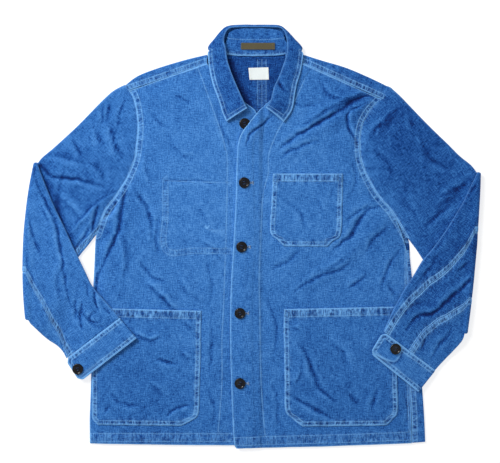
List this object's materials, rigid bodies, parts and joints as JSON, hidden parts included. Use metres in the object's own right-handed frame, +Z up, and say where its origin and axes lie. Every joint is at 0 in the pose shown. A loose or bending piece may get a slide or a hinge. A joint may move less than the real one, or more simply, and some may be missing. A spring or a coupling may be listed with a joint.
{
  "type": "chore jacket",
  "caption": "Blue cotton chore jacket laid flat on its back, buttoned, with its sleeves folded in over the hip pockets.",
  "frame": {"origin": "middle of the flat jacket's bounding box, on the surface it lies on", "axes": "+X across the jacket towards the side with the button edge, +Y from hem to collar, +Z up from the surface"},
  "size_m": [0.8582, 0.7933, 0.0208],
  "materials": {
    "denim": "matte woven cotton, faded at seams and folds",
    "button": "glossy",
    "tape": "matte woven tape",
    "label": "matte smooth tape"
  },
  "bodies": {
    "root": {"back_left": "denim", "back_right": "denim", "front_left": "denim", "front_right": "denim", "hip_pocket_left": "denim", "hip_pocket_right": "denim", "chest_pocket": "denim", "collar_stand": "denim", "collar_leaf": "denim", "under_sleeve_left": "denim", "top_sleeve_left": "denim", "cuff_left": "denim", "under_sleeve_right": "denim", "top_sleeve_right": "denim", "cuff_right": "denim", "button_1": "button", "button_2": "button", "button_3": "button", "button_4": "button", "button_5": "button", "cuff_button_left": "button", "cuff_button_right": "button", "label_tape": "tape", "label_patch": "label"}
  },
  "joints": []
}
